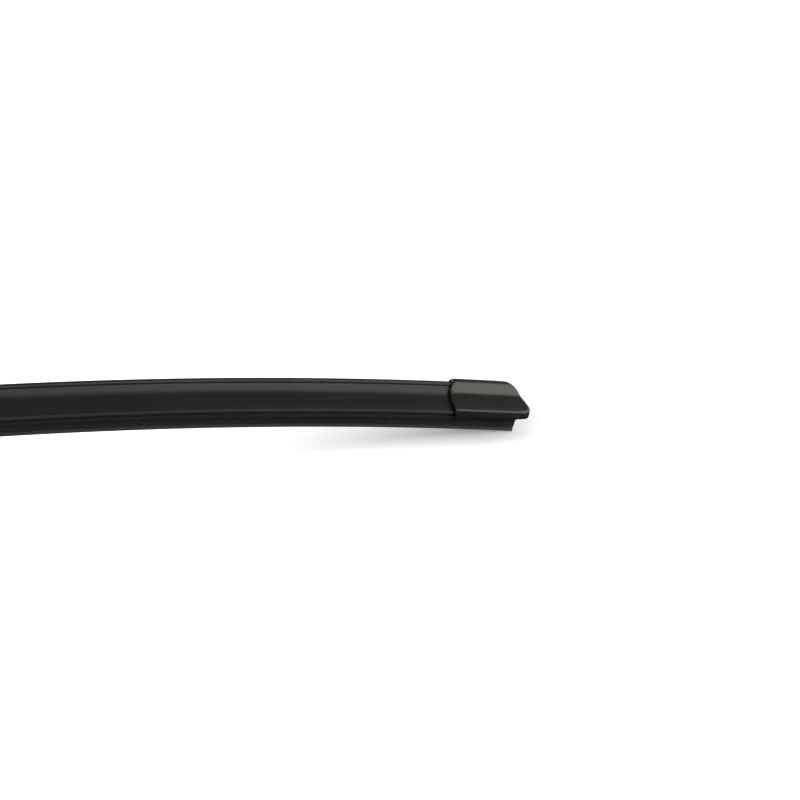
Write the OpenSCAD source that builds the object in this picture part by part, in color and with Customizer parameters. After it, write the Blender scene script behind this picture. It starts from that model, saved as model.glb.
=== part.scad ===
// Beam wiper blade: a rubber squeegee on two sprung steel rails, under a two-piece spoiler,
// with moulded end caps and a centre connector that carries a pivoting hook adapter.
//
// Frame: the origin is the centre of the pivot rivet, +X runs along the blade, +Z points away
// from the glass, and -Y is the hollow front of the spoiler, which meets the wind.
// Sections are drawn as [forward, up], measured from the middle of the rails.

/* [Blade] */
// Length over the end caps, along the bow
blade_l = 662; // [450:2:720]
// Radius of the bow at the rails, off the glass
bow_r = 1800; // [1200:50:3000]

/* [Rails] */
// Width of one spring rail
rail_w = 4.2; // [3.4:0.1:5.2]
// Thickness of one spring rail
rail_t = 0.9; // [0.7:0.05:1.1]
// How far the rails stop short of the blade's end
rail_short = 6; // [5:0.5:8]

/* [Squeegee] */
// Thickness of the rubber web between the rails
web_t = 2.8; // [2.3:0.1:3.4]
// Width of the flange above the rails
head_w = 5.8; // [5.2:0.1:6.6]
// Thickness of the flange above the rails
head_t = 1; // [0.8:0.05:1.2]
// Width of the shoulder below the rails
shoulder_w = 6.8; // [6:0.1:7.6]
// Thickness of the shoulder below the rails
shoulder_t = 1.5; // [1.2:0.1:1.8]
// Thickness of the neck that lets the wedge flip over
neck_t = 1.3; // [1:0.1:1.6]
// Height of the neck
neck_h = 1; // [0.8:0.1:1.2]
// Width of the wedge at its top
wedge_w = 4.8; // [4:0.1:5.6]
// Height of the wedge
wedge_h = 3.1; // [2.6:0.1:3.7]
// Thickness of the wiping lip
edge_t = 0.8; // [0.65:0.05:0.95]
// Height of the wiping lip
edge_h = 1.15; // [1:0.05:1.4]
// Angle that the wedge has taken towards the front, standing on its lip
wedge_turn = 20; // [0:1:20]
// How far the rubber stops short of the blade's end
rubber_short = 3.1; // [2.6:0.1:3.5]

/* [Spoiler] */
// Height of the ridge above the rails
ridge_up = 10.75; // [10.2:0.05:12]
// Radius of the bead along the ridge
bead_r = 0.95; // [0.8:0.05:1.1]
// How far the front lip stands out past the claws
front_lip = 1.2; // [0.9:0.05:1.6]
// How far the back lip stands out past the claws
back_lip = 0.4; // [0.3:0.05:0.8]
// Thickness of the lips
lip_t = 1.15; // [1:0.05:1.35]
// How far the front lip's wall leans back at its top
lip_lean = 0.15; // [0:0.05:0.25]
// How far the sloping face swells near the front lip
lip_swell = 0.15; // [0.05:0.05:0.25]
// Height of the valley where the steep face meets the sloping one
valley_up = 6.45; // [6:0.05:6.7]
// How far forward of the middle that valley lies
valley_in = 1.1; // [0.8:0.05:1.4]
// Radius of that valley
valley_r = 4.3; // [3.5:0.1:5]
// How far the steep face leans back from the valley to the ridge
face_back = 1.7; // [1.4:0.05:2]
// Height of the bend in the back face
back_bend_up = 6.7; // [6.4:0.1:7]
// Wall left outside the long hollow chamber
chamber_wall = 0.9; // [0.8:0.05:1.1]
// Thickness of the claws that grip the rails
claw_t = 1.05; // [0.9:0.05:1.25]
// Thickness of the wall beside the rails
claw_wall = 1.5; // [1.3:0.05:1.7]

/* [End caps] */
// Length of an end cap
cap_l = 32; // [28:0.5:38]
// Wall that an end cap adds round the spoiler
cap_wall = 1; // [0.8:0.05:1.15]
// How far the spoiler runs into a cap
cap_lap = 9; // [7.5:0.5:10.5]
// How far the mouth leans back at the ridge
mouth_lean = 2.6; // [1.8:0.1:3]
// How far the mouth bulges over the spoiler at the valley
mouth_bulge = 2; // [1.2:0.1:2.2]
// How far the crease lies above the spoiler's lip
crease_up = 1.05; // [0.8:0.05:1.2]
// How far the front face swells near the crease
cap_swell = 0.45; // [0.3:0.05:0.6]
// Radius of the ridge's round end in side view
fin_r = 7.5; // [6:0.25:9]
// Radius of the body's round end in side view
body_r = 7; // [6:0.25:8]
// Height at which the body's end is upright
body_up = 1.8; // [1.2:0.1:2.2]
// Corner radius of the nose in plan
nose_r = 3.6; // [3:0.1:4.5]

/* [Connector] */
// Height of the pivot above the rails
pivot_up = 12; // [11.8:0.1:14]
// Half length of the metal base
base_half = 30; // [27:1:32]
// Thickness of the ears that carry the rivet
ear_t = 1.3; // [1.1:0.05:1.5]
// Radius of the rivet's shank
rivet_r = 3.2; // [3:0.05:3.8]
// Radius of the hole through the rivet, for a side pin
pin_bore_r = 2.42; // [2:0.01:2.5]
// Thickness of the rivet's heads
rivet_head_t = 0.8; // [0.6:0.05:1]
// Half length of the cover
cover_half = 46; // [42:1:54]
// How far the spoiler runs into a hood of the cover
cover_lap = 9; // [8:0.5:10]
// Half length of the open well between the cover's hoods
well_half = 25; // [24:0.5:26]

/* [Adapter] */
// Width of the arm's hook
hook_w = 9; // [8:0.1:9.2]
// Thickness of the arm's hook
hook_t = 4; // [3.4:0.1:4.2]
// Radius of the nose that the hook wraps round
saddle_r = 4.8; // [4.4:0.1:5]
// Length of the adapter behind the pivot
tail_l = 20; // [17:0.5:21]
// Thickness of the adapter's cheeks
cheek_t = 1.05; // [0.9:0.05:1.2]

/* [Hidden] */

// Turn of each step of a rounded corner, and how finely the bow and the bores are drawn
corner_step = 15;
bow_fn = 720;
bore_fn = 64;
// Clearances: above and beside the rails, round the rubber's head, and beside its shoulder
slot_gap = 0.05;
rail_gap = 0.1;
head_gap = 0.15;
toe_gap = 1.2;
// Clearances: sleeves over the spoiler, holes over the rivet, adapter beside the ears, hook in the adapter
sleeve_gap = 0.15;
rivet_gap = 0.05;
cheek_gap = 0.15;
hook_gap = 0.2;
// Overlap that makes a cut run clean through
through = 1;

half_l = blade_l / 2;
slot_up = rail_t / 2 + slot_gap;
rail_in = web_t / 2 + rail_gap;
rail_out = rail_in + rail_w;
slot_out = rail_out + rail_gap;
side_out = slot_out + claw_wall;
front_reach = side_out + front_lip;
back_reach = side_out + back_lip;
claw_bottom = -slot_up - claw_t;
toe_in = shoulder_w / 2 + toe_gap;
channel_in = head_w / 2 + head_gap;
channel_top = slot_up + head_t + head_gap;

// The lips stand clear of a groove that runs between them and the claws
lip_bottom = slot_up + 0.5;
lip_top = lip_bottom + lip_t;
groove_in = 0.35;

// Where the faces of the spoiler meet: the bead on top, and the bend and the knee behind
bead_front = valley_in - face_back;
bead_back = bead_front - 2 * bead_r;
back_bend_in = -1.1;
knee = [-3.9, lip_top + 1.3];
// The fine groove under the bead: its edges below the ridge, and its depth
bead_groove_low = 1.5;
bead_groove_high = 1;
bead_groove_in = 0.4;

// Notches in the rails' outer edges, and the teeth of the caps that sit in them
notch_r = 1;
notch_in = 5;
notch_at = half_l - rail_short - notch_in;
tooth_gap = 0.1;

cap_grow = cap_wall + sleeve_gap;
skirt_bottom = slot_up - 0.2;
cap_mouth = half_l - cap_l;
spoiler_end = cap_mouth + cap_lap;
// A cap's claws end with the rails
claw_end = half_l - rail_short - 0.2;
// The nose in side view: the ridge's round end stands on the body's at the height of the valley
nose_up = ridge_up + cap_grow;
kink_up = valley_up + 0.6 * cap_grow;
body_turn = asin((kink_up - body_up) / body_r);
kink_in = body_r * (1 - cos(body_turn));
fin_turn = asin((kink_up + fin_r - nose_up) / fin_r);
fin_back = kink_in + fin_r * cos(fin_turn);

// The base's floor, and its ears on either side of the adapter
floor_t = 0.85;
floor_up = channel_top + floor_t;
cheek_out = hook_w / 2 + hook_gap + cheek_t;
ear_in = cheek_out + cheek_gap;
ear_out = ear_in + ear_t;
base_out = max(side_out, ear_out + 0.1);
rivet_head_r = rivet_r + 1;
spoiler_start = cover_half - cover_lap;
hood_wall = 1.2;
wall_inset = 0.15;
// The cover's side walls stop just under the rivet's heads
side_up = pivot_up - rivet_head_r - 0.4;

// Lugs on the base that snap into windows in the cover
lug_at = 18;
lug_l = 5;
lug_t = 0.7;
lug_up = channel_top + 0.1;
lug_out = 0.9;
lug_gap = 0.15;

// Each corner is [x, y, radius] and corners run anticlockwise.
function at(c, i) = let (n = len(c)) c[(i + n) % n];
function xy(c) = [c[0], c[1]];
function unit(v) = v / norm(v);
function outward(a, b) = let (d = unit(b - a)) [d[1], -d[0]];
function turn(a, p, b) = cross(p - a, b - p);

// The points of an outline whose corners are rounded to their radii.
function rounded(c) = [
    for (i = [0 : len(c) - 1])
        let (
            p = xy(at(c, i)),
            a = xy(at(c, i - 1)),
            b = xy(at(c, i + 1)),
            r = c[i][2],
            to_a = unit(a - p),
            to_b = unit(b - p),
            half = acos(to_a * to_b) / 2,
            bend = 180 - 2 * half,
            steps = max(2, ceil(bend / corner_step)),
            centre = p + unit(to_a + to_b) * r / sin(half),
            from = p + to_a * r / tan(half) - centre,
            side = sign(turn(a, p, b))
        )
        each r == 0
            ? [p]
            : [
                for (k = [0 : steps])
                    let (t = side * bend * k / steps)
                        centre + [from[0] * cos(t) - from[1] * sin(t), from[0] * sin(t) + from[1] * cos(t)]
            ]
];

// The same outline moved outward by d, with its radii to match.
function grown(c, d) = [
    for (i = [0 : len(c) - 1])
        let (
            p = xy(at(c, i)),
            a = xy(at(c, i - 1)),
            b = xy(at(c, i + 1)),
            n1 = outward(a, p),
            n2 = outward(p, b),
            moved = p + d * (n1 + n2) / (1 + n1 * n2)
        )
        [moved[0], moved[1], turn(a, p, b) > 0 ? c[i][2] + d : max(0.1, c[i][2] - d)]
];

// A front half, listed upward, closed with its mirror image.
function both_sides(c) = concat(c, [for (i = [len(c) - 1 : -1 : 0]) [-c[i][0], c[i][1], c[i][2]]]);

// The claws and the groove over them, on the front side, listed upward.
function claw_side() = [
    [side_out, claw_bottom, 0.35],
    [side_out, -slot_up + 0.45, 0.15],
    [side_out - groove_in, -slot_up + 0.75, 0.1],
    [side_out - groove_in, lip_bottom, 0.1]
];

// How far forward the steep front face lies at a height.
function face_at(up) = valley_in + (bead_front - valley_in) * (up - valley_up) / (ridge_up - valley_up);

// The spoiler over the rails, from the front lip over the ridge to the back lip.
function wing() = [
    [front_reach, lip_bottom, 0.3],
    [front_reach - lip_lean, lip_top, 0.4],
    swelled([front_reach - lip_lean, lip_top], [valley_in, valley_up], lip_swell),
    [valley_in, valley_up, valley_r],
    [face_at(ridge_up - bead_groove_low), ridge_up - bead_groove_low, 0.1],
    let (up = ridge_up - (bead_groove_low + bead_groove_high) / 2) [face_at(up) - bead_groove_in, up, 0.1],
    [face_at(ridge_up - bead_groove_high), ridge_up - bead_groove_high, 0.1],
    [bead_front, ridge_up, 0.9 * bead_r],
    [bead_back, ridge_up, 0.9 * bead_r],
    [back_bend_in, back_bend_up, 3.5],
    [knee[0], knee[1], 2.5],
    [-back_reach, lip_top + 0.45, 0.4],
    [-back_reach, lip_bottom, 0.3]
];

// The same form without the bead's groove, which a sleeve passes over.
function plain_wing() = [for (i = [0 : len(wing()) - 1]) if (i != 4 && i != 5 && i != 6) wing()[i]];

function spoiler_outline(top) =
    concat(top, [for (i = [len(claw_side()) - 1 : -1 : 0]) let (c = claw_side()[i]) [-c[0], c[1], c[2]]], claw_side());

// A soft corner a quarter of the way from a to b, swelled outward.
function swelled(a, b, swell) = let (p = a + (b - a) / 4 + swell * outward(a, b)) [p[0], p[1], 8];

// An end cap or hood: the spoiler's form grown by the wall, with upright skirts and a swelling front.
function sleeve_outline() = let (
    g = grown(plain_wing(), cap_grow),
    n = len(g),
    crease = [front_reach + cap_grow, lip_top + crease_up]
) concat(
    [[front_reach + cap_grow, skirt_bottom, 0.3]],
    [[crease[0], crease[1], 0.6]],
    [swelled(crease, xy(g[3]), cap_swell)],
    [for (i = [3 : n - 3]) g[i]],
    [[-back_reach - cap_grow, g[n - 2][1], 0.7]],
    [[-back_reach - cap_grow, skirt_bottom, 0.3]]
);

// Sweeps a section along the bow, from arc position s0 to s1.
module bow(s0, s1) {
    a0 = s0 / bow_r * 180 / PI;
    a1 = s1 / bow_r * 180 / PI;
    translate([0, 0, -pivot_up - bow_r])
        rotate([90, 0, 0])
            rotate([0, 0, 90 - a1])
                rotate_extrude(angle = a1 - a0, $fn = bow_fn)
                    translate([bow_r, 0])
                        mirror([1, -1])
                            children();
}

// Stands its children on the bow at arc position s, with X along it and Z away from the glass.
module on_bow(s) {
    translate([0, 0, -pivot_up - bow_r])
        rotate([0, s / bow_r * 180 / PI, 0])
            translate([0, 0, bow_r])
                children();
}

// Extrudes an outline drawn in [x, z] over a width w, centred on the blade.
module across(w) {
    rotate([90, 0, 0])
        linear_extrude(w, center = true)
            children();
}

// The slot that both rails and the head of the squeegee run in, open towards the glass.
module rail_channel() {
    polygon(rounded(both_sides([
        [toe_in, claw_bottom - through, 0],
        [toe_in, -slot_up, 0.1],
        [slot_out, -slot_up, 0],
        [slot_out, slot_up, 0],
        [channel_in, slot_up, 0.1],
        [channel_in, channel_top, 0.2]
    ])));
}

// The squeegee down to its neck, and the wedge with its lip. Both ends are round at the neck's
// middle, about which the wedge turns.
module squeegee_section() {
    shoulder_bottom = -slot_up - shoulder_t;
    neck_middle = shoulder_bottom - neck_h / 2;
    wedge_top = -neck_h / 2;
    edge_top = wedge_top - wedge_h;
    translate([0, neck_middle])
        rotate(wedge_turn)
            polygon(rounded(both_sides([
                [edge_t / 2, edge_top - edge_h, 0],
                [edge_t / 2, edge_top, 0.3],
                [wedge_w / 2, wedge_top - 0.6, 0.2],
                [wedge_w / 2, wedge_top, 0.25],
                [neck_t / 2, wedge_top + 0.1, 0.15],
                [neck_t / 2, neck_t / 2, 0.45 * neck_t]
            ])));
    polygon(rounded(both_sides([
        [neck_t / 2, neck_middle - neck_t / 2, 0.45 * neck_t],
        [neck_t / 2, shoulder_bottom, 0.15],
        [shoulder_w / 2, shoulder_bottom, 0.3],
        [shoulder_w / 2, -slot_up, 0.2],
        [web_t / 2, -slot_up, 0],
        [web_t / 2, slot_up, 0],
        [head_w / 2, slot_up, 0.15],
        [head_w / 2, slot_up + head_t, 0.3]
    ])));
}

module squeegee() {
    color([0.09, 0.09, 0.09])
        bow(-half_l + rubber_short, half_l - rubber_short)
            squeegee_section();
}

// One spring rail; side is 1 in front and -1 behind. A notch at each end takes a cap's tooth.
module rail(side) {
    rail_half = half_l - rail_short;
    color([0.34, 0.35, 0.36])
        difference() {
            bow(-rail_half, rail_half)
                translate([side * (rail_in + rail_w / 2), 0])
                    square([rail_w, rail_t], center = true);
            for (end = [-1, 1])
                on_bow(end * notch_at)
                    translate([0, -side * rail_out, 0])
                        cylinder(h = 3 * rail_t, r = notch_r, center = true, $fn = bore_fn);
        }
}

// The long hollow inside the spoiler.
module chamber() {
    floor = channel_top + chamber_wall + 0.4;
    slope = (front_reach - valley_in) / (valley_up - lip_top);
    polygon(rounded([
        [front_reach - (floor + 1.6 * chamber_wall - lip_top) * slope, floor, 0.35],
        [valley_in - 0.8 * chamber_wall, valley_up + 0.2, 0.4],
        [knee[0] + chamber_wall, floor, 0.35]
    ]));
}

module spoiler_section() {
    difference() {
        polygon(rounded(spoiler_outline(wing())));
        rail_channel();
        chamber();
    }
}

module spoiler() {
    color([0.1, 0.1, 0.1])
        bow(spoiler_start, spoiler_end)
            spoiler_section();
}

// Side view of a cap: the round ends of its body and its ridge, and a curved mouth.
module cap_side() {
    low = claw_bottom - through;
    high = nose_up + through;
    steps = 16;
    polygon(concat(
        [[0, low]],
        [for (k = [0 : steps])
            let (a = body_turn * k / steps)
                [body_r * (cos(a) - 1), body_up + body_r * sin(a)]],
        [for (k = [1 : steps])
            let (a = fin_turn + (90 - fin_turn) * k / steps)
                [fin_r * cos(a) - fin_back, nose_up + fin_r * (sin(a) - 1)]],
        [[-fin_back - 1, high]],
        [for (k = [steps : -1 : 0])
            let (t = k / steps)
                [mouth_lean * t - mouth_bulge * sin(180 * pow(t, 1.6)) - cap_l, low + t * (high - low)]]
    ));
}

// Plan of a cap's nose, blunt with round corners and a little draft along its sides.
module nose_plan() {
    back = -2 * cap_l;
    front = front_reach + cap_grow;
    rear = back_reach + cap_grow;
    polygon(rounded([
        [back, -front - through, 0],
        [0, -front + 0.15, nose_r],
        [0, rear - 0.15, nose_r],
        [back, rear + through, 0]
    ]));
}

// The block inside a cap that grips the rails' ends, with the same claws as the spoiler.
module claw_block() {
    polygon(rounded(both_sides([
        [side_out, claw_bottom, 0.35],
        [side_out, lip_bottom, 0]
    ])));
}

// Moulded cap that sleeves over the spoiler's end and holds the rails' ends.
module end_cap() {
    color([0.11, 0.11, 0.12])
        difference() {
            intersection() {
                union() {
                    bow(cap_mouth - mouth_bulge - through, half_l + through)
                        polygon(rounded(sleeve_outline()));
                    bow(cap_mouth - mouth_bulge - 2 * through, claw_end)
                        claw_block();
                }
                on_bow(half_l)
                    across(4 * front_reach)
                        cap_side();
                on_bow(half_l)
                    linear_extrude(4 * ridge_up, center = true)
                        nose_plan();
            }
            bow(cap_mouth - mouth_bulge - 2 * through, spoiler_end + sleeve_gap)
                polygon(rounded(grown(spoiler_outline(plain_wing()), sleeve_gap)));
            difference() {
                bow(spoiler_end, half_l - rail_short + 0.3)
                    rail_channel();
                for (side = [-1, 1])
                    on_bow(notch_at)
                        translate([0, side * rail_out, 0])
                            cylinder(h = 4 * slot_up, r = notch_r - tooth_gap, center = true, $fn = bore_fn);
            }
            bow(half_l - rail_short - 1, half_l - rubber_short + 0.4)
                squeegee_way();
            bow(spoiler_end, half_l - fin_back - 2)
                chamber();
        }
}

// Room for the squeegee past the rails' ends, open below.
module squeegee_way() {
    polygon(rounded(both_sides([
        [toe_in - 0.2, claw_bottom - through, 0],
        [toe_in - 0.2, -slot_up + 0.1, 0],
        [web_t / 2 + 0.2, -slot_up + 0.1, 0],
        [web_t / 2 + 0.2, slot_up - 0.1, 0],
        [channel_in - 0.05, slot_up - 0.1, 0],
        [channel_in - 0.05, channel_top - 0.05, 0.2]
    ])));
}

// Ear that carries the rivet, drawn in [x, z].
module ear_outline() {
    foot = floor_up - pivot_up;
    polygon(rounded([
        [-13, foot - 0.4, 0],
        [13, foot - 0.4, 0],
        [rivet_r + 2.4, rivet_r + 2, 4.6],
        [-rivet_r - 2.4, rivet_r + 2, 4.6]
    ]));
}

module base_section() {
    difference() {
        polygon(rounded(both_sides([
            [base_out, claw_bottom, 0.4],
            [base_out, floor_up, 0.8]
        ])));
        rail_channel();
    }
}

// Cast base, closed round the rails, with two ears for the rivet and lugs for the cover.
module connector_base() {
    color([0.24, 0.24, 0.25])
        difference() {
            union() {
                bow(-base_half, base_half)
                    base_section();
                for (side = [-1, 1])
                    translate([0, side * (ear_in + ear_t / 2), 0])
                        across(ear_t)
                            ear_outline();
                for (end = [-1, 1])
                    on_bow(end * lug_at)
                        translate([-lug_l / 2, -base_out - lug_out, lug_up])
                            cube([lug_l, 2 * (base_out + lug_out), lug_t]);
            }
            rotate([90, 0, 0])
                cylinder(h = 4 * base_out, r = rivet_r + rivet_gap, center = true, $fn = bore_fn);
        }
}

// Hollow rivet through both ears.
module pivot_rivet() {
    color([0.7, 0.7, 0.72])
        rotate([90, 0, 0])
            difference() {
                union() {
                    cylinder(h = 2 * ear_out, r = rivet_r, center = true, $fn = bore_fn);
                    for (side = [-1, 1])
                        translate([0, 0, side * (ear_out + rivet_head_t / 2)])
                            cylinder(h = rivet_head_t, r = rivet_head_r, center = true, $fn = bore_fn);
                }
                cylinder(h = 4 * base_out, r = pin_bore_r, center = true, $fn = bore_fn);
            }
}

// Side view of the cover's side walls: high at the pivot, down to the lips at the hoods.
module side_profile() {
    polygon(rounded([
        [-cover_half, claw_bottom - pivot_up - through, 0],
        [cover_half, claw_bottom - pivot_up - through, 0],
        [cover_half, lip_top + cap_grow - pivot_up, 0],
        [well_half, lip_top + cap_grow - pivot_up, 0],
        [0.6 * well_half, side_up - pivot_up, 5],
        [-0.6 * well_half, side_up - pivot_up, 5],
        [-well_half, lip_top + cap_grow - pivot_up, 0],
        [-cover_half, lip_top + cap_grow - pivot_up, 0]
    ]));
}

// One side wall of the cover; side is 1 in front and -1 behind.
module side_wall(side) {
    reach = side > 0 ? front_reach : back_reach;
    inner = base_out + sleeve_gap;
    outer = reach + cap_grow - wall_inset;
    intersection() {
        bow(-well_half - hood_wall / 2, well_half + hood_wall / 2)
            translate([side * (inner + outer) / 2, (skirt_bottom + wall_inset + side_up) / 2])
                square([outer - inner, side_up - skirt_bottom - wall_inset], center = true);
        across(4 * front_reach)
            side_profile();
    }
}

// Hood at one end of the cover, over the end of a spoiler.
module hood() {
    difference() {
        bow(well_half, cover_half)
            polygon(rounded(sleeve_outline()));
        bow(well_half + hood_wall, cover_half + through)
            polygon(rounded(grown(spoiler_outline(plain_wing()), sleeve_gap)));
        bow(well_half - through, base_half + 0.5)
            polygon(rounded(both_sides([
                [base_out + sleeve_gap, claw_bottom - through, 0],
                [base_out + sleeve_gap, floor_up + sleeve_gap, 0.8]
            ])));
    }
}

// Moulded cover: two hoods joined by side walls, which snap over the base's lugs.
module connector_cover() {
    color([0.11, 0.11, 0.12])
        difference() {
            union() {
                hood();
                mirror([1, 0, 0])
                    hood();
                side_wall(1);
                side_wall(-1);
            }
            for (end = [-1, 1])
                on_bow(end * lug_at)
                    translate([-lug_l / 2 - lug_gap, -2 * base_out, lug_up - lug_gap])
                        cube([lug_l + 2 * lug_gap, 4 * base_out, lug_t + 2 * lug_gap]);
        }
}

// Cheek of the adapter in [x, z]: a disc round the hook's bend, and a tail behind it.
module cheek_outline() {
    cheek_r = saddle_r + hook_t + 0.2;
    circle(r = cheek_r, $fn = bore_fn);
    polygon(rounded([
        [-tail_l, -saddle_r / 2, 1],
        [0, -saddle_r / 2, 0],
        [0, saddle_r + hook_t / 2, 0],
        [-tail_l, saddle_r + hook_t / 2, 1.5]
    ]));
}

// The nose and the seat that the arm lies on.
module saddle_outline() {
    circle(r = saddle_r, $fn = bore_fn);
    polygon(rounded([
        [-tail_l + 3, saddle_r - 2.6, 0.6],
        [0, saddle_r - 2.6, 0],
        [0, saddle_r, 0],
        [-tail_l + 3, saddle_r, 0.6]
    ]));
}

// The sprung tongue under the seat, with a catch that drops behind the hook's end.
module tongue_outline() {
    catch_at = -saddle_r - hook_t - 0.9;
    catch_down = -saddle_r - 1;
    under = -1.9;
    polygon(rounded([
        [1 - tail_l, under, 0.4],
        [catch_at - 2.3, under, 0.3],
        [catch_at - 1.3, catch_down, 0.3],
        [catch_at, catch_down, 0.2],
        [catch_at, under, 0.3],
        [-rivet_r, under - 0.3, 0],
        [-rivet_r, under + 1.3, 0],
        [3 - tail_l, under + 1.5, 1],
        [1 - tail_l, under + 2.5, 0.4]
    ]));
}

// Clip that snaps over the rivet from above and takes the arm's hook.
module hook_adapter() {
    mouth = 1.7 * rivet_r;
    tongue_gap = 0.8;
    color([0.13, 0.13, 0.14])
        difference() {
            union() {
                across(hook_w + 2 * hook_gap)
                    saddle_outline();
                across(hook_w - 2 * tongue_gap)
                    tongue_outline();
                for (side = [-1, 1])
                    translate([0, side * (cheek_out - cheek_t / 2), 0])
                        across(cheek_t)
                            cheek_outline();
            }
            rotate([90, 0, 0])
                cylinder(h = 4 * base_out, r = rivet_r + rivet_gap, center = true, $fn = bore_fn);
            translate([-mouth / 2, -2 * base_out, -3 * saddle_r])
                cube([mouth, 4 * base_out, 3 * saddle_r]);
        }
}

squeegee();
rail(1);  // rail_front
rail(-1);  // rail_rear
spoiler();  // spoiler_right
mirror([1, 0, 0]) spoiler();  // spoiler_left
end_cap();  // end_cap_right
mirror([1, 0, 0]) end_cap();  // end_cap_left
connector_base();
pivot_rivet();
connector_cover();
hook_adapter();
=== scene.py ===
import math

import bpy
import numpy as np
import openvdb
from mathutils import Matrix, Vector
from mathutils.geometry import tessellate_polygon

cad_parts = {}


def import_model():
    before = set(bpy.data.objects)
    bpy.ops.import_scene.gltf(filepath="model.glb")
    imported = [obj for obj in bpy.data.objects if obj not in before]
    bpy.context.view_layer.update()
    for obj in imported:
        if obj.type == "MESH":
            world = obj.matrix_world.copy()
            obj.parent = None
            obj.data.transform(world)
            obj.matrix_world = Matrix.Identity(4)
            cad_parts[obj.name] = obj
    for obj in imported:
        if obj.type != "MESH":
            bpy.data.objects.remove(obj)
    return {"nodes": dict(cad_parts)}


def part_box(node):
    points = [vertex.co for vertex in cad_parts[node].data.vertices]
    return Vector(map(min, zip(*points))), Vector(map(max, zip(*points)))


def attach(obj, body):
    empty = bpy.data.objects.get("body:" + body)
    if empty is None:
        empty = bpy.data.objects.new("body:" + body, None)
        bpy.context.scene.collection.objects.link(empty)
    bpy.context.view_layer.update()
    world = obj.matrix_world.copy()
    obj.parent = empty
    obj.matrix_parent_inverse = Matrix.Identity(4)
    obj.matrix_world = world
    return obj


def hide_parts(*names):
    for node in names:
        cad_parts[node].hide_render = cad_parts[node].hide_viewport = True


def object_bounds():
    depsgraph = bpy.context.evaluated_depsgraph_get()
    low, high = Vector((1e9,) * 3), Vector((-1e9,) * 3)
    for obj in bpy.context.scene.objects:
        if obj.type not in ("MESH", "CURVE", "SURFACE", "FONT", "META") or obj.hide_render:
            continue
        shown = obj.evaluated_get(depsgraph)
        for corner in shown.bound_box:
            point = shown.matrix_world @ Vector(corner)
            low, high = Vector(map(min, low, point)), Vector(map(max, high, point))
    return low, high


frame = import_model()
cad_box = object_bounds()

# The bow that the whole blade follows, in metres: its radius at the rails, and the pivot's height
BOW_R = 1.8
PIVOT_UP = 0.012
# Distance between the cross sections of an extrusion along the bow
STATION = 0.003
# Faces that meet at more than this keep a sharp edge
SHARP = math.radians(35)

# Softening: cells of the distance field kept on each side of a surface, steps that bring a skin onto
# the field's zero, and the least squared slope that such a step divides by
FIELD_REACH = 8
SETTLING_STEPS = 3
LEAST_SLOPE = 0.05
# Height above the rails where a cap's broad faces begin, and the height over which they set in
FACES_UP = 0.0038
FACES_SET_IN = 0.0008
# A cap's rounder nose: its length low down and high up, the height where it starts to grow, the height
# over which it grows, and the length over which the rounding sets in
NOSE_LOW = 0.006
NOSE_HIGH = 0.012
NOSE_GROWS_FROM = 0.003
NOSE_GROWS_OVER = 0.004
NOSE_SETS_IN = 0.003

# The photograph's view: the point at its centre, and the camera's angles, distance and lens
LOOK_AT = Vector((0.2796, 0.0, -0.03054))
AZIMUTH = math.radians(20.9)
ELEVATION = math.radians(20.36)
DISTANCE = 0.5957
LENS = 72.37


# Places on the bow

def to_bow(points):
    """Arc position, forward and up of points in the row frame."""
    x, y, z = points.T
    rise = z + PIVOT_UP + BOW_R
    return np.stack([np.arctan2(x, rise) * BOW_R, -y, np.hypot(x, rise) - BOW_R], axis=1)


def from_bow(places):
    """Points in the row frame of places given as arc position, forward and up."""
    s, forward, up = places.T
    angle = s / BOW_R
    radius = BOW_R + up
    return np.stack([radius * np.sin(angle), -forward, radius * np.cos(angle) - BOW_R - PIVOT_UP], axis=1)


def vertices_of(mesh):
    points = np.empty(len(mesh.vertices) * 3)
    mesh.vertices.foreach_get("co", points)
    return points.reshape(-1, 3)


def triangles_of(mesh):
    mesh.calc_loop_triangles()
    corners = np.empty(len(mesh.loop_triangles) * 3, np.int32)
    mesh.loop_triangles.foreach_get("vertices", corners)
    return corners.reshape(-1, 3)


def mark_places(mesh):
    """Keeps each point's place on the bow, which the materials draw their grain along."""
    places = to_bow(vertices_of(mesh)).astype(np.float32)
    attribute = mesh.attributes.new("bow_place", "FLOAT_VECTOR", "POINT")
    attribute.data.foreach_set("vector", places.ravel())


def add_piece(name, points, faces):
    mesh = bpy.data.meshes.new(name)
    mesh.from_pydata(points.tolist(), [], faces)
    mesh.shade_smooth()
    mark_places(mesh)
    piece = bpy.data.objects.new(name, mesh)
    bpy.context.scene.collection.objects.link(piece)
    return piece


def stand_for(piece, node, body, material):
    """Gives a piece its material and body, and lets it stand for a CAD node."""
    piece.data.materials.append(material)
    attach(piece, body)
    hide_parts(node)


# Extrusions, rebuilt from their own end faces

def end_outlines(node):
    """The closed outlines of an extrusion's end face, as [forward, up] points in order."""
    mesh = frame["nodes"][node].data
    places = np.round(to_bow(vertices_of(mesh)), 7)
    end = places[:, 0].max()
    following = {}
    for triangle in triangles_of(mesh):
        if np.all(np.abs(places[triangle, 0] - end) < 2e-6):
            corners = [tuple(places[i, 1:]) for i in triangle]
            for a, b in zip(corners, corners[1:] + corners[:1]):
                following.setdefault(a, set()).add(b)
    border = {a: b for a in following for b in following[a] if a not in following.get(b, ())}
    outlines = []
    while border:
        a = next(iter(border))
        outline = []
        while a in border:
            outline.append(a)
            a = border.pop(a)
        outlines.append(outline)
    return sorted(outlines, key=len, reverse=True)


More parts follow.
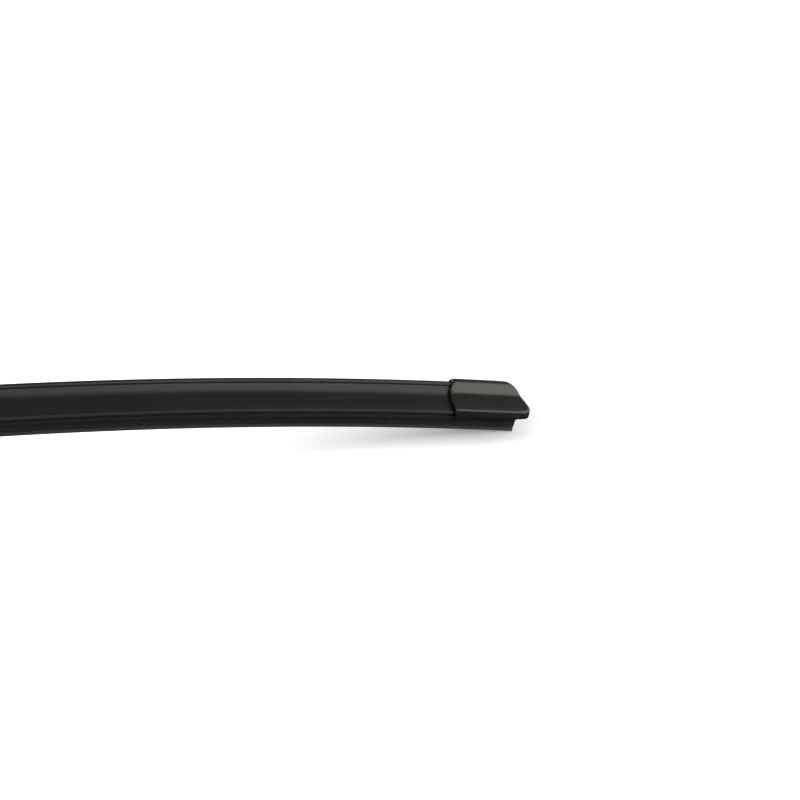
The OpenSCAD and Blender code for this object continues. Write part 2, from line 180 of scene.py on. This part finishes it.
def extrusion(name, node):
    """Sweeps the node's end face along the bow in short steps, with flat ends."""
    outlines = end_outlines(node)
    along = to_bow(vertices_of(frame["nodes"][node].data))[:, 0]
    steps = math.ceil((along.max() - along.min()) / STATION)
    stations = np.linspace(along.min(), along.max(), steps + 1)
    section = np.array([point for outline in outlines for point in outline])
    count = len(section)
    places = [np.column_stack([np.full(count, s), section]) for s in stations]
    faces = []
    first = 0
    for outline in outlines:
        ring = list(range(first, first + len(outline)))
        first += len(outline)
        for a, b in zip(ring, ring[1:] + ring[:1]):
            for here in range(0, steps * count, count):
                faces.append((here + a, here + b, here + count + b, here + count + a))
    cut = tessellate_polygon([[Vector((f, u, 0)) for f, u in outline] for outline in outlines])
    faces += [tuple(triangle) for triangle in cut]
    faces += [tuple(i + steps * count for i in reversed(triangle)) for triangle in cut]
    piece = add_piece(name, from_bow(np.concatenate(places)), faces)
    even_normals(piece)
    return piece


def even_normals(piece):
    """Turns all faces outward, keeps sharp edges, and lets the large flat faces set the shading."""
    bpy.context.view_layer.objects.active = piece
    bpy.ops.object.mode_set(mode="EDIT")
    bpy.ops.mesh.select_all(action="SELECT")
    bpy.ops.mesh.normals_make_consistent(inside=False)
    bpy.ops.object.mode_set(mode="OBJECT")
    piece.data.set_sharp_from_angle(angle=SHARP)
    weighted = piece.modifiers.new("even_normals", "WEIGHTED_NORMAL")
    weighted.keep_sharp = True


# Mouldings and castings, softened from their CAD nodes

def sample(grid, at):
    """Value of the grid, and its slope, at points given in cells."""
    low = np.floor(at).astype(int)
    part = at - low
    value = np.zeros(len(at))
    slope = np.zeros((len(at), 3))
    for corner in np.ndindex(2, 2, 2):
        corner = np.array(corner)
        share = np.where(corner, part, 1 - part)
        sign = np.where(corner, 1.0, -1.0)
        here = grid[tuple((low + corner).T)]
        value += here * share.prod(axis=1)
        for axis in range(3):
            others = [i for i in range(3) if i != axis]
            slope[:, axis] += here * sign[axis] * share[:, others].prod(axis=1)
    return value, slope


def directions(field, at):
    """The direction out of the field at points given in cells."""
    slope = sample(field, at)[1]
    return slope / np.linalg.norm(slope, axis=1)[:, None]


def blurred(field, width):
    """The field under a bell-shaped blur, whose width is given in cells."""
    reach = math.ceil(3 * width)
    offsets = range(-reach, reach + 1)
    weights = np.exp([-0.5 * (i / width) ** 2 for i in offsets])
    weights /= weights.sum()
    for axis in range(3):
        field = sum(w * np.roll(field, i, axis=axis) for i, w in zip(offsets, weights))
    return field.astype(np.float32)


def nose_share(shape, corner, cell, tip):
    """1 in the cells near the tip where a cap's nose is rounder, and 0 away from it."""
    cells = np.indices(shape).reshape(3, -1).T + corner
    s, _, up = to_bow(cells * cell).T
    length = NOSE_LOW + (NOSE_HIGH - NOSE_LOW) * np.clip((up - NOSE_GROWS_FROM) / NOSE_GROWS_OVER, 0, 1)
    share = np.clip((np.abs(s) - tip + length) / NOSE_SETS_IN, 0, 1)
    return share.reshape(shape).astype(np.float32)


def softened(name, node, cell, blur, nose_blur=None, face_blur=None):
    """A copy of a CAD node whose edges and inner corners are rounded as a mould rounds them.

    The blurs are widths in metres: of all edges, of a cap's nose, and of the shading of its broad faces.
    """
    mesh = frame["nodes"][node].data
    points = (vertices_of(mesh) / cell).astype(np.float32)
    level = openvdb.FloatGrid.createLevelSetFromPolygons(
        points,
        triangles=triangles_of(mesh).astype(np.uint32),
        transform=openvdb.createLinearTransform(voxelSize=1.0),
        halfWidth=float(FIELD_REACH),
    )
    low = np.floor(points.min(axis=0)).astype(int) - FIELD_REACH
    high = np.ceil(points.max(axis=0)).astype(int) + FIELD_REACH
    corner = tuple(int(v) for v in low)
    sharp = np.empty(high - low + 1, np.float32)
    level.copyToArray(sharp, ijk=corner)
    distance = blurred(sharp, blur / cell)
    if nose_blur:
        tip = np.abs(to_bow(vertices_of(mesh))[:, 0]).max()
        distance += nose_share(sharp.shape, low, cell, tip) * (blurred(sharp, nose_blur / cell) - distance)
    soft = openvdb.FloatGrid(float(FIELD_REACH))
    soft.copyFromArray(distance, ijk=corner, tolerance=1e-3)
    skin, quads = soft.convertToQuads(isovalue=0.0)
    at = skin.astype(float) - low
    for _ in range(SETTLING_STEPS):
        value, slope = sample(distance, at)
        at -= (value / np.maximum((slope ** 2).sum(axis=1), LEAST_SLOPE))[:, None] * slope
    normals = directions(distance, at)
    if face_blur:
        up = to_bow((at + low) * cell)[:, 2:]
        share = np.clip((up - FACES_UP) / FACES_SET_IN, 0, 1)
        normals += share * (directions(blurred(sharp, face_blur / cell), at) - normals)
    piece = add_piece(name, (at + low) * cell, quads.tolist())
    piece.data.normals_split_custom_set_from_vertices(normals.tolist())
    return piece


# The turned rivet

def lathe(name, profile, turns=96):
    """Turns a closed profile of (across, radius) points about the pivot's axis."""
    angles = [2 * math.pi * k / turns for k in range(turns)]
    points = np.array([(r * math.sin(a), y, r * math.cos(a)) for a in angles for y, r in profile])
    count = len(profile)
    faces = []
    for k in range(turns):
        here, there = k * count, (k + 1) % turns * count
        for i in range(count):
            j = (i + 1) % count
            faces.append((here + i, here + j, there + j, there + i))
    piece = add_piece(name, points, faces)
    even_normals(piece)
    return piece


def rivet():
    """Hollow rivet with rounded head edges and a small chamfer at each end of its bore."""
    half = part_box("pivot_rivet")[1].y
    head_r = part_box("pivot_rivet")[1].z
    head_t = 0.0008
    shank_r = 0.0032
    bore_r = 0.00242
    edge_r = 0.0003
    edge_steps = 6
    chamfer = 0.00018
    inside = half - chamfer - 3 * head_t
    side = [(inside, bore_r), (half - chamfer, bore_r), (half, bore_r + chamfer)]
    for step in range(edge_steps + 1):
        turn = math.pi / 2 * step / edge_steps
        side.append((half - edge_r * (1 - math.cos(turn)), head_r - edge_r * (1 - math.sin(turn))))
    side += [(half - head_t, head_r), (half - head_t, shank_r)]
    other = [(-y, r) for y, r in reversed(side)]
    return lathe("pivot_rivet_turned", side + other)


# Materials

def add(tree, kind, inputs=None, **settings):
    """Adds a node, and sets its inputs to values or links them to other nodes' outputs."""
    node = tree.nodes.new(kind)
    for key, value in settings.items():
        setattr(node, key, value)
    for key, value in (inputs or {}).items():
        if isinstance(value, bpy.types.NodeSocket):
            tree.links.new(value, node.inputs[key])
        else:
            node.inputs[key].default_value = value
    return node


def grain(tree, stretch, detail=2.0, rough=0.5):
    """Noise on the blade's own places; stretch is its cells per metre along, forward and up."""
    place = add(tree, "ShaderNodeAttribute", attribute_name="bow_place").outputs["Vector"]
    scaled = add(tree, "ShaderNodeVectorMath", {0: place, 1: stretch}, operation="MULTIPLY").outputs[0]
    inputs = {"Vector": scaled, "Scale": 1.0, "Detail": detail, "Roughness": rough}
    return add(tree, "ShaderNodeTexNoise", inputs).outputs["Fac"]


def span(tree, value, low, high, start=0.3, stop=0.7):
    """Low where the value is at start, high at stop, and even between; noise is mostly from 0.3 to 0.7."""
    inputs = {"Value": value, "From Min": start, "From Max": stop, "To Min": low, "To Max": high}
    return add(tree, "ShaderNodeMapRange", inputs).outputs["Result"]


def tint(tree, share, low, high):
    """A colour between two others."""
    mix = add(tree, "ShaderNodeMixRGB", {"Fac": share, "Color1": (*low, 1), "Color2": (*high, 1)})
    return mix.outputs["Color"]


def relief(tree, layers):
    """Bumps laid over each other; each layer is a height and its depth in metres."""
    normal = None
    for height, depth in layers:
        inputs = {"Height": height, "Distance": depth, "Strength": 1.0}
        if normal:
            inputs["Normal"] = normal
        normal = add(tree, "ShaderNodeBump", inputs).outputs["Normal"]
    return normal


def surface(name, **even):
    """An empty material with the shader's even values set on its own sockets."""
    material = bpy.data.materials.new(name + "_finish")
    material.use_nodes = True
    shader = material.node_tree.nodes["Principled BSDF"]
    for key, value in even.items():
        shader.inputs[key.replace("_", " ").title().replace("Ior", "IOR")].default_value = value
    return material, material.node_tree, shader


def dress(tree, shader, colour, roughness, normal):
    tree.links.new(colour, shader.inputs["Base Color"])
    tree.links.new(roughness, shader.inputs["Roughness"])
    tree.links.new(normal, shader.inputs["Normal"])


def spoiler_rubber():
    """Satin extruded elastomer: long flow streaks and a fine grain."""
    material, tree, shader = surface("spoiler_rubber", specular_ior_level=0.33)
    streak = grain(tree, (14, 2600, 2600), 3)
    cloud = grain(tree, (45, 180, 180), 3)
    speck = grain(tree, (5200, 5200, 5200), 1)
    colour = tint(tree, span(tree, cloud, 0, 1), (0.008, 0.008, 0.0078), (0.0112, 0.0112, 0.0109))
    roughness = span(tree, streak, 0.38, 0.48)
    dress(tree, shader, colour, roughness, relief(tree, [(streak, 4e-6), (speck, 6e-6)]))
    return material


def cap_plastic():
    """Moulded satin plastic, a little glossier and warmer than the rubber."""
    material, tree, shader = surface("cap_plastic", specular_ior_level=0.5, specular_tint=(1, 0.96, 0.9, 1))
    cloud = grain(tree, (90, 140, 140), 4)
    speck = grain(tree, (4200, 4200, 4200), 2)
    colour = tint(tree, span(tree, cloud, 0, 1), (0.0082, 0.008, 0.0073), (0.0114, 0.0109, 0.01))
    roughness = span(tree, cloud, 0.27, 0.35)
    dress(tree, shader, colour, roughness, relief(tree, [(cloud, 5e-6), (speck, 7e-6)]))
    return material


def squeegee_rubber():
    """Matt wiping rubber with a dusting of graphite and faint lines from its die."""
    material, tree, shader = surface("squeegee_rubber", specular_ior_level=0.33)
    streak = grain(tree, (6, 3200, 3200), 2)
    dust = grain(tree, (420, 900, 900), 5, 0.65)
    speck = grain(tree, (6500, 6500, 6500), 1)
    colour = tint(tree, span(tree, dust, 0, 1, 0.42, 0.7), (0.03, 0.03, 0.0296), (0.0465, 0.0463, 0.0452))
    roughness = span(tree, dust, 0.6, 0.72)
    dress(tree, shader, colour, roughness, relief(tree, [(streak, 5e-6), (speck, 9e-6)]))
    return material


def spring_steel():
    """Blued spring strip, brushed along its length."""
    material, tree, shader = surface("spring_steel", metallic=1.0)
    brush = grain(tree, (40, 9000, 9000), 3)
    blue = grain(tree, (25, 90, 90), 3)
    colour = tint(tree, span(tree, blue, 0, 1), (0.2, 0.215, 0.25), (0.34, 0.34, 0.345))
    roughness = span(tree, brush, 0.26, 0.42)
    dress(tree, shader, colour, roughness, relief(tree, [(brush, 2e-6)]))
    return material


def base_metal():
    """Black powder coat with an orange-peel skin."""
    material, tree, shader = surface("base_metal", ior=1.5)
    peel = grain(tree, (1100, 1100, 1100), 2)
    speck = grain(tree, (4800, 4800, 4800), 1)
    cloud = grain(tree, (120, 120, 120), 3)
    colour = tint(tree, span(tree, cloud, 0, 1), (0.016, 0.016, 0.017), (0.026, 0.026, 0.027))
    roughness = span(tree, peel, 0.4, 0.52)
    dress(tree, shader, colour, roughness, relief(tree, [(peel, 2.4e-5), (speck, 5e-6)]))
    return material


def rivet_steel():
    """Zinc plate over turned rings, a little clouded."""
    material, tree, shader = surface("rivet_steel", metallic=1.0)
    place = add(tree, "ShaderNodeTexCoord").outputs["Object"]
    flat = add(tree, "ShaderNodeVectorMath", {0: place, 1: (1, 0, 1)}, operation="MULTIPLY").outputs[0]
    radius = add(tree, "ShaderNodeVectorMath", {0: flat}, operation="LENGTH").outputs["Value"]
    rings = {"W": radius, "Scale": 9000.0, "Detail": 2.0}
    ring = add(tree, "ShaderNodeTexNoise", rings, noise_dimensions="1D").outputs["Fac"]
    cloud = grain(tree, (500, 500, 500), 4)
    colour = tint(tree, span(tree, cloud, 0, 1), (0.42, 0.43, 0.44), (0.6, 0.59, 0.56))
    roughness = span(tree, ring, 0.24, 0.4)
    dress(tree, shader, colour, roughness, relief(tree, [(ring, 5e-6), (cloud, 4e-6)]))
    return material


def adapter_plastic():
    """Smooth black acetal with the slight waviness of a moulding."""
    material, tree, shader = surface("adapter_plastic", ior=1.48)
    cloud = grain(tree, (260, 260, 260), 3)
    speck = grain(tree, (3600, 3600, 3600), 2)
    colour = tint(tree, span(tree, cloud, 0, 1), (0.02, 0.02, 0.021), (0.03, 0.03, 0.031))
    roughness = span(tree, cloud, 0.3, 0.4)
    dress(tree, shader, colour, roughness, relief(tree, [(cloud, 8e-6), (speck, 3e-6)]))
    return material


# The pieces

def build_blade():
    """Makes each piece and says which CAD node and body it stands for."""
    rubber = spoiler_rubber()
    plastic = cap_plastic()
    for end in ("right", "left"):
        spoiler = extrusion(f"spoiler_{end}_skin", f"spoiler_{end}")
        stand_for(spoiler, f"spoiler_{end}", "blade", rubber)
        cap = softened(
            f"end_cap_{end}_moulding", f"end_cap_{end}",
            cell=0.00021, blur=0.00018, nose_blur=0.00055, face_blur=0.00045,
        )
        stand_for(cap, f"end_cap_{end}", "blade", plastic)
    stand_for(extrusion("squeegee_skin", "squeegee"), "squeegee", "blade", squeegee_rubber())
    cover = softened("connector_cover_moulding", "connector_cover", cell=0.00025, blur=0.0002)
    stand_for(cover, "connector_cover", "blade", plastic)
    base = softened("connector_base_casting", "connector_base", cell=0.00025, blur=0.00018)
    stand_for(base, "connector_base", "blade", base_metal())
    stand_for(rivet(), "pivot_rivet", "blade", rivet_steel())
    adapter = softened("hook_adapter_moulding", "hook_adapter", cell=0.0002, blur=0.00016)
    stand_for(adapter, "hook_adapter", "adapter", adapter_plastic())
    steel = spring_steel()
    for node in ("rail_front", "rail_rear"):
        rail = frame["nodes"][node]
        mark_places(rail.data)
        rail.data.materials.clear()
        rail.data.materials.append(steel)


# Floor, lamps and camera

# The floor's colour as the camera sees it, and for all other rays a darker one: painted shade on the floor as
# the blade reflects it and takes bounce light from it
PAPER = 0.98
PAPER_PAINTED_SHADE = 0.1
# The floor's own glow, painted light that washes out the blade's shadow on it, where 1 is white: its least,
# and what it adds under the blade's raised middle
GLOW_LEAST = 0.02
PAINTED_LIGHT_UNDER_MIDDLE = 0.54
# Where the glow changes for the camera, in metres: across the blade in front of it and behind it, and
# along it from its raised middle and past its ends
IN_FRONT = (-0.046, 0.007)
BEHIND = (0.035, 0.1)
RAISED_MIDDLE = (0.219, 0.31)
PAST_ENDS = (0.332, 0.4)
# Where it changes for what gloss and glass see: across the blade and along it
MIRRORED_BESIDE = (0.1, 0.7)
MIRRORED_PAST_ENDS = (0.45, 0.9)
# The room's own light on the object, what reflections see of its ceiling, and the rise of a direction
# over which they fade from the white horizon to that
ROOM = 0.43
ROOM_MIRRORED = 0.21
CEILING_FADE = (0.1, 0.6)


def light_path(tree, *kinds):
    """1 for the kinds of ray that are named, and 0 for the others."""
    path = add(tree, "ShaderNodeLightPath")
    share = path.outputs[kinds[0]]
    for kind in kinds[1:]:
        share = add(tree, "ShaderNodeMath", {0: share, 1: path.outputs[kind]}, operation="MAXIMUM").outputs[0]
    return share


def total(tree, *values):
    """The sum of some values, held between 0 and 1."""
    result = values[0]
    for value in values[1:]:
        terms = {0: result, 1: value}
        result = add(tree, "ShaderNodeMath", terms, operation="ADD", use_clamp=True).outputs[0]
    return result


def grey(value):
    return (value, value, value)


def floor_painted_light(tree):
    """Painted light on the floor: white for the camera, which washes out the blade's shadow except close
    behind its tips, where the shadow is kept.

    Gloss and glass see that white too, further away from the blade.
    """
    place = add(tree, "ShaderNodeNewGeometry").outputs["Position"]
    folded = add(tree, "ShaderNodeVectorMath", {0: place}, operation="ABSOLUTE").outputs[0]
    across = add(tree, "ShaderNodeSeparateXYZ", {"Vector": place}).outputs["Y"]
    beside = add(tree, "ShaderNodeSeparateXYZ", {"Vector": folded}).outputs["Y"]
    along = add(tree, "ShaderNodeSeparateXYZ", {"Vector": folded}).outputs["X"]
    # Each of these lifts the floor towards white, painted light over the blade's shadow; the one under the
    # raised middle washes out the shadow there
    in_front = span(tree, across, 1, GLOW_LEAST, *IN_FRONT)
    behind = span(tree, across, 0, 1, *BEHIND)
    painted_light_under_middle = span(tree, along, PAINTED_LIGHT_UNDER_MIDDLE, 0, *RAISED_MIDDLE)
    past_ends = span(tree, along, 0, 1, *PAST_ENDS)
    near = total(tree, in_front, behind, painted_light_under_middle, past_ends)
    far_past = span(tree, along, 0, 1, *MIRRORED_PAST_ENDS)
    far = total(tree, far_past, span(tree, beside, 0, 1, *MIRRORED_BESIDE))
    seen = light_path(tree, "Is Camera Ray")
    mirrored = light_path(tree, "Is Glossy Ray", "Is Transmission Ray")
    shown = add(tree, "ShaderNodeMath", {0: near, 1: seen}, operation="MULTIPLY").outputs[0]
    shown = add(tree, "ShaderNodeMath", {0: far, 1: mirrored, 2: shown}, operation="MULTIPLY_ADD").outputs[0]
    return add(tree, "ShaderNodeEmission", {"Strength": shown}).outputs[0]


def floor():
    """A floor under the blade's tips, which keeps its shadow close behind them and is clear from below;
    painted light washes the shadow out elsewhere, and painted shade darkens the floor for all rays but the
    camera's.
    """
    size = 8.0
    height = cad_box[0].z
    corners = [(x * size, y * size, height) for x, y in ((-1, -1), (1, -1), (1, 1), (-1, 1))]
    mesh = bpy.data.meshes.new("floor")
    mesh.from_pydata(corners, [], [(0, 1, 2, 3)])
    plane = bpy.data.objects.new("floor", mesh)
    bpy.context.scene.collection.objects.link(plane)
    material = bpy.data.materials.new("floor")
    material.use_nodes = True
    tree = material.node_tree
    tree.nodes.clear()
    # Rays other than the camera's see the floor darker: painted shade in the blade's reflections and bounce
    # light
    colour = tint(tree, light_path(tree, "Is Camera Ray"), grey(PAPER_PAINTED_SHADE), grey(PAPER))
    paper = add(tree, "ShaderNodeBsdfDiffuse", {"Color": colour}).outputs[0]
    # The diffuse paper plus the floor's painted light
    lit = add(tree, "ShaderNodeAddShader", {0: paper, 1: floor_painted_light(tree)}).outputs[0]
    below = add(tree, "ShaderNodeNewGeometry").outputs["Backfacing"]
    clear = add(tree, "ShaderNodeBsdfTransparent").outputs[0]
    one_sided = add(tree, "ShaderNodeMixShader", {0: below, 1: lit, 2: clear}).outputs[0]
    output = add(tree, "ShaderNodeOutputMaterial")
    tree.links.new(one_sided, output.inputs["Surface"])
    mesh.materials.append(material)


def world():
    """White behind the object, and a dim room for the light on it and in its gloss."""
    made = bpy.data.worlds.new("room")
    made.use_nodes = True
    tree = made.node_tree
    tree.nodes.clear()
    white = add(tree, "ShaderNodeBackground", {"Color": (1, 1, 1, 1), "Strength": 1.0}).outputs[0]
    way = add(tree, "ShaderNodeTexCoord").outputs["Generated"]
    rise = add(tree, "ShaderNodeVectorMath", {0: way, 1: (0, 0, 1)}, operation="DOT_PRODUCT").outputs["Value"]
    ceiling = span(tree, rise, 1, ROOM_MIRRORED, *CEILING_FADE)
    mirrored = light_path(tree, "Is Glossy Ray", "Is Transmission Ray")
    strength = add(tree, "ShaderNodeMix", {"Factor": mirrored, "A": ROOM, "B": ceiling}).outputs["Result"]
    room = add(tree, "ShaderNodeBackground", {"Color": (1, 1, 1, 1), "Strength": strength}).outputs[0]
    seen = light_path(tree, "Is Camera Ray")
    mixed = add(tree, "ShaderNodeMixShader", {0: seen, 1: room, 2: white}).outputs[0]
    output = add(tree, "ShaderNodeOutputWorld")
    tree.links.new(mixed, output.inputs["Surface"])
    bpy.context.scene.world = made


def lamp(name, direction, distance, width, depth, power, colour=(1, 1, 1)):
    """A soft rectangular lamp that hangs in a direction from its aim and faces it."""
    data = bpy.data.lights.new(name, "AREA")
    data.shape = "RECTANGLE"
    data.size, data.size_y = width, depth
    data.energy = power
    data.color = colour
    light = bpy.data.objects.new(name, data)
    away = Vector(direction).normalized()
    light.location = LOOK_AT + away * distance
    light.rotation_mode = "QUATERNION"
    light.rotation_quaternion = away.to_track_quat("Z", "Y")
    light.visible_camera = False
    bpy.context.scene.collection.objects.link(light)


def camera():
    data = bpy.data.cameras.new("camera")
    data.sensor_width = 36
    data.lens = LENS
    data.clip_start = 0.01
    eye = bpy.data.objects.new("camera", data)
    back = Vector((
        -math.sin(AZIMUTH) * math.cos(ELEVATION),
        -math.cos(AZIMUTH) * math.cos(ELEVATION),
        math.sin(ELEVATION),
    ))
    eye.location = LOOK_AT + back * DISTANCE
    eye.rotation_mode = "QUATERNION"
    eye.rotation_quaternion = back.to_track_quat("Z", "Y")
    bpy.context.scene.collection.objects.link(eye)
    bpy.context.scene.camera = eye


build_blade()
floor()
world()
lamp("front", (0.75, -0.7, 0.48), distance=1.8, width=2.8, depth=1.6, power=38.5, colour=(1, 0.985, 0.96))
lamp("behind", (-0.5, 0.9, 0.6), distance=2.2, width=2.4, depth=1.2, power=10.5)
camera()
bpy.context.scene.view_settings.view_transform = "Standard"
